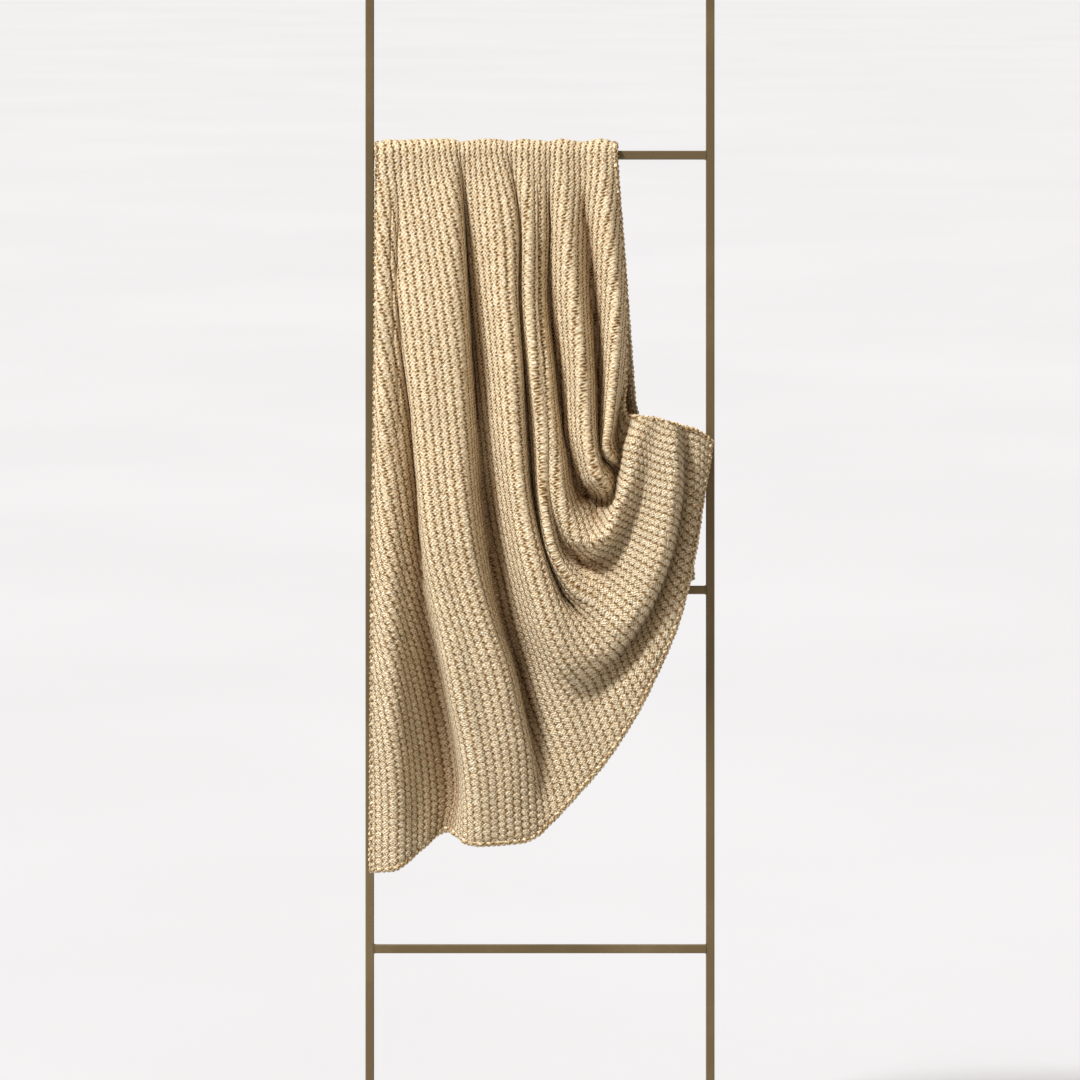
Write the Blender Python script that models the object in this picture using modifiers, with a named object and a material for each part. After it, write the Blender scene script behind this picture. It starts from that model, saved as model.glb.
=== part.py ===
"""Knitted throw hung over a slim square-tube blanket ladder.

The ladder is laid out flat in its own plane first: X across, Z up along the uprights, and
"out" measured from the middle of the tubes toward the room, which is -Y.  The whole group
then leans back against a wall.  The throw is one sheet.  Its front half is a loft through
named fold lines, it wraps over the top rung, and its back half hangs plumb behind.
"""
from bisect import bisect_right
from math import cos, pi, radians, sin, tan

import bmesh
import bpy
from mathutils import Matrix, Vector

MM = 0.001

# Ladder, in metres along its own plane
TUBE = 0.012
TUBE_ROUNDING = 0.0012
UPRIGHT_LENGTH = 1.800
UPRIGHT_X = 0.240
RUNG_HEIGHTS = (1.504, 1.091, 0.891, 0.385)
JOINT_GAP = 0.0003
LEAN = radians(8.0)
WALL_REST_HEIGHT = 0.010

# Throw
CLOTH_THICKNESS = 0.008
BACK_DROP = 0.610
BACK_DROP_SWELL = 0.045
BACK_DROP_UNEVEN = 0.008
BACK_LEAN_OUT = 0.075
BACK_CORNER_SWING = 0.066
BACK_FOLD_DEPTH = 0.020
BACK_FOLD_RAMP = 0.160
LAST_STATION = 12
ROWS_PER_STATION = 4
COLUMNS_PER_LINE = 2
RUNG_ROWS = 6
BACK_ROWS = 10

# Each line runs down the knit from the top rung to the front hem.  A row holds
# (station, x, height, out) in millimetres.  Equal stations on neighbouring lines lie across
# the same fold: from station 5 on, the right-hand lines cross a crack, a ridge, a soft
# hollow, the outer ridge, a valley and the hem flap in turn.
FOLD_LINES = {
    "left_selvedge": [
        (0, -230, 1504, 15), (2, -230, 1328, 20), (4, -232, 1116, 19), (6, -235, 933, 18),
        (8, -236, 778, 19), (10, -237, 623, 21), (12, -238, 496, 22),
    ],
    "left_crest": [
        (0, -223, 1504, 17), (2, -223, 1328, 34), (4, -219, 1116, 38), (6, -213, 933, 42),
        (8, -210, 778, 44), (10, -206, 623, 42), (12, -202, 500, 38),
    ],
    "left_slope": [
        (0, -210, 1504, 18), (2, -210, 1328, 33), (4, -199, 1116, 31), (6, -190, 933, 30),
        (8, -182, 778, 22), (10, -172, 623, 14), (12, -171, 524, 20),
    ],
    "left_valley": [
        (0, -195, 1504, 17), (2, -199, 1314, 28), (4, -179, 1116, 17), (6, -166, 940, 15),
        (6.8, -161, 882, 15), (8, -144, 799, -1), (9, -131, 729, -8), (10, -120, 651, -9),
        (11, -118, 602, -6), (12, -131, 552, 0),
    ],
    "broad_left": [
        (0, -183, 1504, 18), (2, -188, 1314, 41), (4, -169, 1116, 54), (6, -154, 940, 66),
        (8, -130, 799, 72), (9, -117, 729, 74), (10, -103, 651, 73), (11, -99, 595, 68),
        (12, -99, 537, 61),
    ],
    "broad_crest": [
        (0, -157, 1504, 19), (2, -151, 1314, 50), (4, -138, 1116, 65), (6, -121, 919, 77),
        (8, -90, 764, 82), (10, -61, 637, 80), (12, -56, 537, 68),
    ],
    "broad_right": [
        (0, -125, 1504, 19), (1, -118, 1406, 41), (2, -113, 1300, 50), (4, -106, 1116, 63),
        (5, -102, 1018, 70), (6, -92, 933, 74), (7, -75, 856, 77), (8, -51, 785, 78),
        (9, -35, 722, 76), (10, -20, 651, 70), (12, -14, 543, 63),
    ],
    "deep_valley": [
        (0, -113, 1504, 15), (1, -106, 1398, 3), (2, -100, 1293, -4), (3, -94, 1201, -2),
        (4, -87, 1102, 17), (4.4, -85, 1069, 16), (5, -80, 1018, 8), (6, -70, 933, 17),
        (7, -58, 860, 18), (8, -35, 785, 4), (9, -21, 722, 13), (10, -6, 658, 38), (11, 7, 609, 51),
        (12, 16, 567, 56),
    ],
    "deep_slope": [
        (0, -97, 1504, 17), (1, -89, 1398, 24), (2, -83, 1293, 20), (3, -78, 1201, 16),
        (4, -72, 1102, 23), (5, -65, 1018, 17), (6, -52, 933, 19), (7, -37, 860, 21),
        (8, -13, 792, 23), (9, 8, 729, 34), (10, 28, 672, 45), (12, 49, 602, 54),
    ],
    "second_crest": [
        (0, -76, 1504, 19), (1, -62, 1398, 42), (2, -54, 1300, 52), (3, -48, 1201, 58),
        (4, -42, 1102, 64), (5, -32, 1004, 70), (6, -17, 919, 76), (7, 4, 846, 77), (8, 25, 795, 71),
        (9, 42, 763, 61), (10, 56, 736, 51), (12, 85, 643, 52),
    ],
    "second_right": [
        (0, -56, 1504, 18), (1, -38, 1406, 38), (2, -37, 1300, 48), (3, -31, 1201, 55),
        (4, -28, 1109, 61), (5, -21, 1025, 67), (6, -4, 950, 72), (7, 21, 878, 75), (8, 51, 823, 73),
        (9, 75, 792, 67), (10, 86, 777, 43), (11, 97, 729, 52), (12, 110, 678, 52),
    ],
    "narrow_valley": [
        (0, -42, 1504, 15.5), (1, -30, 1406, 8), (2, -30, 1300, 12), (3, -23, 1201, 7),
        (4, -17, 1111, 15), (4.4, -14, 1077, 16), (5, -10, 1029, 14), (6, 4, 954, 20),
        (7, 28, 891, 30), (7.5, 47, 867, 44), (8, 66, 849, 60), (9, 97, 811, 70), (10, 109, 798, 38),
        (11, 124, 765, 54), (12, 141, 729, 54),
    ],
    "third_crest": [
        (0, -24, 1504, 19), (1, -18, 1398, 38), (2, -18, 1300, 46), (3, -10, 1201, 53),
        (4, 0, 1109, 57), (5, 4, 1018, 62), (6, 18, 944, 69), (7, 48, 897, 73), (8, 80, 871, 70),
        (9, 117, 834, 73), (10, 130, 822, 33), (11, 144, 795, 55), (12, 161, 770, 54),
    ],
    "inner_step": [
        (0, -10, 1504, 17), (1, -8, 1398, 33), (2, -8, 1300, 42), (3, 0, 1201, 50), (4, 10, 1109, 57),
        (5, 13, 1022, 54), (6, 30, 959, 37), (7, 55, 929, 30), (8, 80, 918, 43), (9, 138, 870, 73),
        (10, 152, 857, 31), (11, 165, 832, 52), (12, 179, 809, 52),
    ],
    "third_inner": [
        (0, 0, 1504, 17), (1, 1, 1398, 27), (2, 1, 1300, 33), (3, 11, 1201, 42), (4, 21, 1109, 50),
        (5, 30, 1032, 61), (6, 45, 980, 65), (7, 69, 952, 66), (8, 97, 939, 44), (9, 155, 905, 73),
        (10, 169, 894, 29), (11, 180, 873, 47), (12, 195, 851, 48),
    ],
    "dark_valley": [
        (0, 13, 1504, 15), (1, 14, 1398, 17), (2, 13, 1300, 8), (3, 24, 1201, 2), (4, 34, 1111, 15),
        (4.4, 42, 1076, 14), (5, 51, 1040, 2), (6, 75, 1014, 4), (6.5, 82, 992, 24), (7, 92, 971, 64),
        (8, 118, 966, 46), (9, 171, 944, 73), (10, 183, 937, 28), (11, 195, 916, 42),
        (12, 209, 905, 42),
    ],
    "fourth_crest": [
        (0, 31, 1504, 19), (1, 38, 1398, 39), (2, 48, 1300, 50), (3, 59, 1201, 59), (4, 66, 1109, 63),
        (5, 79, 1054, 66), (5.5, 90, 1039, 56), (6, 102, 1021, 16), (7, 111, 1014, 64),
        (8, 135, 1002, 50), (9, 180, 990, 73), (10, 193, 984, 28), (11, 209, 968, 36),
        (12, 220, 959, 36),
    ],
    "fifth_valley": [
        (0, 58, 1504, 15), (1, 66, 1398, 18), (2, 75, 1300, 8), (3, 82, 1201, 6), (4, 83, 1124, 14),
        (5, 85, 1083, 15), (5.5, 96, 1069, 15), (6, 110, 1056, 15), (7, 121, 1043, 63),
        (8, 147, 1036, 53), (9, 186, 1033, 72), (10, 199, 1029, 28), (11, 214, 1021, 33),
        (12, 227, 1008, 30),
    ],
    "fifth_crest": [
        (0, 85, 1504, 19), (1, 94, 1398, 37), (2, 104, 1300, 46), (3, 103, 1201, 51),
        (4, 97, 1124, 50), (5, 93, 1094, 47), (5.5, 100, 1080, 42), (6, 113, 1074, 19),
        (7, 127, 1076, 60), (8, 154, 1073, 54), (9, 188, 1069, 71), (10, 200, 1066, 28),
        (11, 217, 1060, 32), (12, 233, 1046, 22),
    ],
    "tube_side": [
        (0, 97, 1504, 17), (1, 106, 1398, 27), (2, 114, 1300, 30), (3, 113, 1201, 28),
        (4, 107, 1140, 16), (5, 106, 1114, 13), (5.5, 109, 1095, 14), (6, 116, 1090, 18),
        (7, 131, 1101, 56), (8, 157, 1102, 52), (9, 186, 1100, 66), (10, 199, 1097, 31),
        (11, 220, 1090, 28), (12, 238, 1074, 18),
    ],
    "right_selvedge": [
        (0, 107, 1504, 15), (1, 113, 1398, 17), (2, 120, 1300, 17), (3, 121, 1201, 15),
        (4, 118, 1156, 15), (5, 121, 1139, 18), (6, 131, 1135, 32), (7, 144, 1133, 46),
        (8, 164, 1131, 50), (9, 182, 1125, 52), (10, 199, 1121, 34), (11, 221, 1115, 25),
        (12, 241, 1101, 16),
    ],
}

# Where each line stands across the knit, in millimetres from the left selvedge
LINE_ACROSS = (
    0, 24, 70, 140, 172, 214, 260, 318, 362, 418, 466,
    524, 570, 612, 654, 700, 766, 818, 862, 896, 930,
)

PAINT = dict(base=(0.160, 0.117, 0.056, 1.0), roughness=0.42, metallic=0.35)
YARN = dict(base=(0.62, 0.49, 0.31, 1.0), roughness=0.95, metallic=0.0)


# ---------------------------------------------------------------- scene and materials
def clear_scene():
    for item in list(bpy.data.objects):
        bpy.data.objects.remove(item, do_unlink=True)


def new_material(name, base, roughness, metallic):
    material = bpy.data.materials.new(name)
    material.use_nodes = True
    shader = material.node_tree.nodes["Principled BSDF"]
    shader.inputs["Base Color"].default_value = base
    shader.inputs["Roughness"].default_value = roughness
    shader.inputs["Metallic"].default_value = metallic
    return material


def add_object(name, mesh, collection, parent, material):
    item = bpy.data.objects.new(name, mesh)
    collection.objects.link(item)
    item.parent = parent
    item.data.materials.append(material)
    return item


# ---------------------------------------------------------------- ladder
def bar_mesh(name, size_x, size_y, size_z, centre):
    mesh = bpy.data.meshes.new(name)
    work = bmesh.new()
    placing = Matrix.Translation(centre) @ Matrix.Diagonal((size_x, size_y, size_z, 1.0))
    bmesh.ops.create_cube(work, size=1.0, matrix=placing)
    work.to_mesh(mesh)
    work.free()
    return mesh


def cut_mesh(mesh, point, normal):
    """Cut away what lies on the normal's side of the plane and close the cut."""
    work = bmesh.new()
    work.from_mesh(mesh)
    everything = list(work.verts) + list(work.edges) + list(work.faces)
    cut = bmesh.ops.bisect_plane(
        work, geom=everything, plane_co=point, plane_no=normal, clear_outer=True
    )
    rim = [part for part in cut["geom_cut"] if isinstance(part, bmesh.types.BMEdge)]
    bmesh.ops.contextual_create(work, geom=rim)
    bmesh.ops.recalc_face_normals(work, faces=list(work.faces))
    work.to_mesh(mesh)
    work.free()


def round_long_edges(item, axis):
    """Round the four edges that run along the tube and leave its ends sharp."""
    weights = item.data.attributes.new("bevel_weight_edge", "FLOAT", "EDGE")
    for edge in item.data.edges:
        start, end = (item.data.vertices[i].co for i in edge.vertices)
        along = (end - start).normalized()
        weights.data[edge.index].value = 1.0 if abs(along[axis]) > 0.999 else 0.0
    bevel = item.modifiers.new("tube rounding", "BEVEL")
    bevel.limit_method = "WEIGHT"
    bevel.width = TUBE_ROUNDING
    bevel.segments = 2


def lean_matrix():
    return Matrix.Rotation(-LEAN, 4, "X")


def wall_plane_y():
    """World Y of the wall that the rear top corners are trimmed to."""
    rear_top = lean_matrix() @ Vector((0.0, TUBE / 2, UPRIGHT_LENGTH))
    return rear_top.y - WALL_REST_HEIGHT * tan(LEAN)


def build_upright(name, x, collection, parent, material):
    spare = TUBE
    length = UPRIGHT_LENGTH + spare
    centre = Vector((x, 0.0, UPRIGHT_LENGTH - length / 2))
    mesh = bar_mesh(name, TUBE, TUBE, length, centre)
    to_plane = lean_matrix().inverted()
    cut_mesh(mesh, Vector((0.0, 0.0, 0.0)), to_plane @ Vector((0.0, 0.0, -1.0)))
    wall_point = to_plane @ Vector((0.0, wall_plane_y(), 0.0))
    cut_mesh(mesh, wall_point, to_plane @ Vector((0.0, 1.0, 0.0)))
    item = add_object(name, mesh, collection, parent, material)
    round_long_edges(item, 2)
    return item


def build_rung(name, height, collection, parent, material):
    length = 2 * UPRIGHT_X - TUBE - 2 * JOINT_GAP
    mesh = bar_mesh(name, length, TUBE, TUBE, Vector((0.0, 0.0, height)))
    item = add_object(name, mesh, collection, parent, material)
    round_long_edges(item, 0)
    return item


# ---------------------------------------------------------------- throw
def spline(knots, values, at):
    """Cubic through (knot, value) pairs, with the slope at each knot from its neighbours."""
    at = min(max(at, knots[0]), knots[-1])
    left = min(bisect_right(knots, at), len(knots) - 1) - 1

    def slope(i):
        before, after = max(i - 1, 0), min(i + 1, len(knots) - 1)
        return (values[after] - values[before]) / (knots[after] - knots[before])

    span = knots[left + 1] - knots[left]
    t = (at - knots[left]) / span
    return (
        values[left] * (1 + 2 * t) * (1 - t) ** 2
        + values[left + 1] * t * t * (3 - 2 * t)
        + slope(left) * span * t * (1 - t) ** 2
        - slope(left + 1) * span * t * t * (1 - t)
    )


def smooth_step(t):
    t = min(max(t, 0.0), 1.0)
    return t * t * (3 - 2 * t)


def place(x, height, out):
    return Vector((x, -out, height))


def front_point(line, station):
    """Point of one fold line on the front, in the ladder's plane."""
    knots = [row[0] for row in line]
    x, height, out = (spline(knots, [row[i] for row in line], station) * MM for i in (1, 2, 3))
    return place(x, height, out)


def top_radius(line):
    return line[0][3] * MM


def rung_point(line, turn):
    """Point on the way over the top rung: turn 0 faces the room, 1 the wall."""
    angle = pi * turn
    radius = top_radius(line)
    return place(line[0][1] * MM, RUNG_HEIGHTS[0] + radius * sin(angle), radius * cos(angle))


def back_drop(across):
    """Length of the back fall, with 0 at the left selvedge and 1 at the right one."""
    return BACK_DROP + BACK_DROP_SWELL * sin(pi * across) + BACK_DROP_UNEVEN * sin(23 * across)


def back_spread(across, drop):
    """How far the back fall has swung to the right by then, most at its right selvedge."""
    swing = BACK_LEAN_OUT * drop + BACK_CORNER_SWING * smooth_step((drop - 0.34) / 0.22)
    return swing * across**1.5


def back_point(line, number, share):
    """Point of one fold line behind the ladder, hanging plumb below the top rung."""
    across = LINE_ACROSS[number] / LINE_ACROSS[-1]
    drop = share * back_drop(across)
    bulge = BACK_FOLD_DEPTH * smooth_step(drop / BACK_FOLD_RAMP) * (number % 2)
    x = line[0][1] * MM + back_spread(across, drop)
    start = place(x, RUNG_HEIGHTS[0], -top_radius(line) - bulge)
    plumb = lean_matrix().inverted() @ Vector((0.0, 0.0, -drop))
    return start + plumb


def line_points(line, number):
    """All points of one line, from the back hem over the rung to the front hem."""
    back = [back_point(line, number, 1 - i / BACK_ROWS) for i in range(BACK_ROWS)]
    over = [rung_point(line, 1 - i / RUNG_ROWS) for i in range(RUNG_ROWS)]
    rows = LAST_STATION * ROWS_PER_STATION
    front = [front_point(line, i / ROWS_PER_STATION) for i in range(rows + 1)]
    return back + over + front


def cloth_grid():
    """Rows of points from the left selvedge to the right one, one row per column of knit."""
    lines = [line_points(line, i) for i, line in enumerate(FOLD_LINES.values())]
    columns = COLUMNS_PER_LINE * (len(lines) - 1) + 1
    grid = []
    for column in range(columns):
        whole, part = divmod(column, COLUMNS_PER_LINE)
        if part == 0:
            grid.append(lines[whole])
            continue
        step = part / COLUMNS_PER_LINE
        across = LINE_ACROSS[whole] + step * (LINE_ACROSS[whole + 1] - LINE_ACROSS[whole])
        grid.append([
            Vector([spline(LINE_ACROSS, [line[row][i] for line in lines], across) for i in range(3)])
            for row in range(len(lines[0]))
        ])
    return grid


def build_throw(name, collection, parent, material):
    grid = cloth_grid()
    rows = len(grid[0])
    work = bmesh.new()
    verts = [[work.verts.new(point) for point in column] for column in grid]
    for left, right in zip(verts, verts[1:]):
        for row in range(rows - 1):
            work.faces.new((left[row], left[row + 1], right[row + 1], right[row]))
    mesh = bpy.data.meshes.new(name)
    work.to_mesh(mesh)
    work.free()
    item = add_object(name, mesh, collection, parent, material)
    solid = item.modifiers.new("knit thickness", "SOLIDIFY")
    solid.thickness = CLOTH_THICKNESS
    solid.offset = 0.0
    item.data.shade_smooth()
    return item


# ---------------------------------------------------------------- whole part
def stand_on_floor_centre(root, items):
    """Shift the group in Y so that its origin is under the middle of its depth."""
    bpy.context.view_layer.update()
    graph = bpy.context.evaluated_depsgraph_get()
    depths = []
    for item in items:
        solid = item.evaluated_get(graph)
        depths += [(solid.matrix_world @ vertex.co).y for vertex in solid.data.vertices]
    root.location.y = -(min(depths) + max(depths)) / 2
    bpy.context.view_layer.update()


def main():
    clear_scene()
    collection = bpy.data.collections.new("throw_on_blanket_ladder")
    bpy.context.scene.collection.children.link(collection)
    root = bpy.data.objects.new("leaning_frame", None)
    collection.objects.link(root)
    root.rotation_euler.x = -LEAN
    paint = new_material("bronze_paint", **PAINT)
    yarn = new_material("oatmeal_yarn", **YARN)

    items = [
        build_upright("upright_left", -UPRIGHT_X, collection, root, paint),
        build_upright("upright_right", UPRIGHT_X, collection, root, paint),
    ]
    for number, height in enumerate(RUNG_HEIGHTS, start=1):
        items.append(build_rung(f"rung_{number}", height, collection, root, paint))
    items.append(build_throw("blanket", collection, root, yarn))
    stand_on_floor_centre(root, items)


main()
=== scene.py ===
# %% [markdown]
# # A knitted throw on a blanket ladder
# A chunky cotton throw hangs over the top rung of a slim metal ladder that leans on a wall.
# The ladder is a few straight square tubes.  Nearly all the work is in the cloth: how it
# folds, how its stitches stand up, and how its edges roll.
# The finished solids of the part come first, as a fixed frame in metres.  Everything below is
# placed from them, so the dressed part keeps the part's own size.

# %% Load the solids
from math import atan, atan2, cos, pi, radians, sin

import bpy
import numpy as np
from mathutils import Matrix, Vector


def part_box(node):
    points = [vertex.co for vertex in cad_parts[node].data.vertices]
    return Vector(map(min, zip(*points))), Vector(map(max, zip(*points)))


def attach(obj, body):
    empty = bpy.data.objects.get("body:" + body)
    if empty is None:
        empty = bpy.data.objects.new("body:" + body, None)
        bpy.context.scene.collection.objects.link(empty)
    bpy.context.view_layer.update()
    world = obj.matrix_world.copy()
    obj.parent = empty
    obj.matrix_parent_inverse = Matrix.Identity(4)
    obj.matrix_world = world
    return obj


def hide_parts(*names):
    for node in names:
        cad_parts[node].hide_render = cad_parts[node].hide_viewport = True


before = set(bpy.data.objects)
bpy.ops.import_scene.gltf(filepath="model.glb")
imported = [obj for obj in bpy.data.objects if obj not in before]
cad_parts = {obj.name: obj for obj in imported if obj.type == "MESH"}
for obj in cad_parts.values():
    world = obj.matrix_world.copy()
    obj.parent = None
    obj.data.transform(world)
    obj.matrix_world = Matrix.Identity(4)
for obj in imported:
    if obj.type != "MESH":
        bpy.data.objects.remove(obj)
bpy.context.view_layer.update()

MM = 0.001
print("nodes:", sorted(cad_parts))

# %% [markdown]
# ## The leaning plane
# The two uprights and the rungs lie in one plane that leans back a few degrees.  It is easier
# to lay out cloth in that plane and tilt it afterwards than to draw it tilted.
# The lean could be typed in, but here it is measured between the top and bottom rungs, so the
# cloth can never drift away from the ladder that carries it.

# %% Find the lean from two rungs
def middle(node):
    low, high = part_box(node)
    return (Vector(low) + Vector(high)) / 2

TOP_RUNG_HEIGHT = 1.504
top_rung, bottom_rung = middle("rung_1"), middle("rung_4")
LEAN = atan2(top_rung.y - bottom_rung.y, top_rung.z - bottom_rung.z)
FOOT_Y = top_rung.y - TOP_RUNG_HEIGHT * sin(LEAN)
print(f"lean {LEAN * 180 / pi:.2f} degrees, feet at y = {FOOT_Y:.4f} m")

def lean_back(points):
    """Turn (x, height, out) rows of the ladder's plane into world points."""
    x, height, out = np.moveaxis(np.asarray(points, float), -1, 0)
    y = -out * cos(LEAN) + height * sin(LEAN) + FOOT_Y
    z = out * sin(LEAN) + height * cos(LEAN)
    return np.stack([x, y, z], -1)

# %% [markdown]
# ## The camera
# The camera stands square on to the ladder, far away with a long lens, so the uprights
# stay parallel.  Square on to a leaning ladder means looking slightly down.

# %% Camera
FRAME_WIDTH = 1.523
FRAME_MIDDLE_HEIGHT = 0.9614
CAMERA_DISTANCE = 7.0

def add_camera():
    camera = bpy.data.objects.new("camera", bpy.data.cameras.new("camera"))
    bpy.context.scene.collection.objects.link(camera)
    aim = Vector(lean_back([0.0, FRAME_MIDDLE_HEIGHT, 0.0]))
    toward_room = Vector((0.0, -cos(LEAN), sin(LEAN)))
    camera.location = aim + toward_room * CAMERA_DISTANCE
    camera.rotation_euler = (aim - camera.location).to_track_quat("-Z", "Y").to_euler()
    camera.data.angle = 2 * atan(FRAME_WIDTH / 2 / CAMERA_DISTANCE)
    camera.data.clip_end = 200.0
    bpy.context.scene.camera = camera
    return camera

camera = add_camera()
print("camera at", [round(v, 3) for v in camera.location])

# %% [markdown]
# ## Where the cloth runs
# A draped cloth could be simulated, but a simulation falls into folds of its own, and this
# throw has particular ones.  So each fold is drawn as a named line that runs down the knit,
# along a crest, a slope or a valley.  A row of a line gives its station, then x, height and
# distance out of the ladder's plane in millimetres.  Equal stations on neighbouring lines lie
# across the same fold, and a smooth curve joins the rows.  From station 5 on, the right-hand
# lines cross a crack, a ridge, a soft hollow, the outer ridge, a valley and the flap at the hem.

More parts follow.
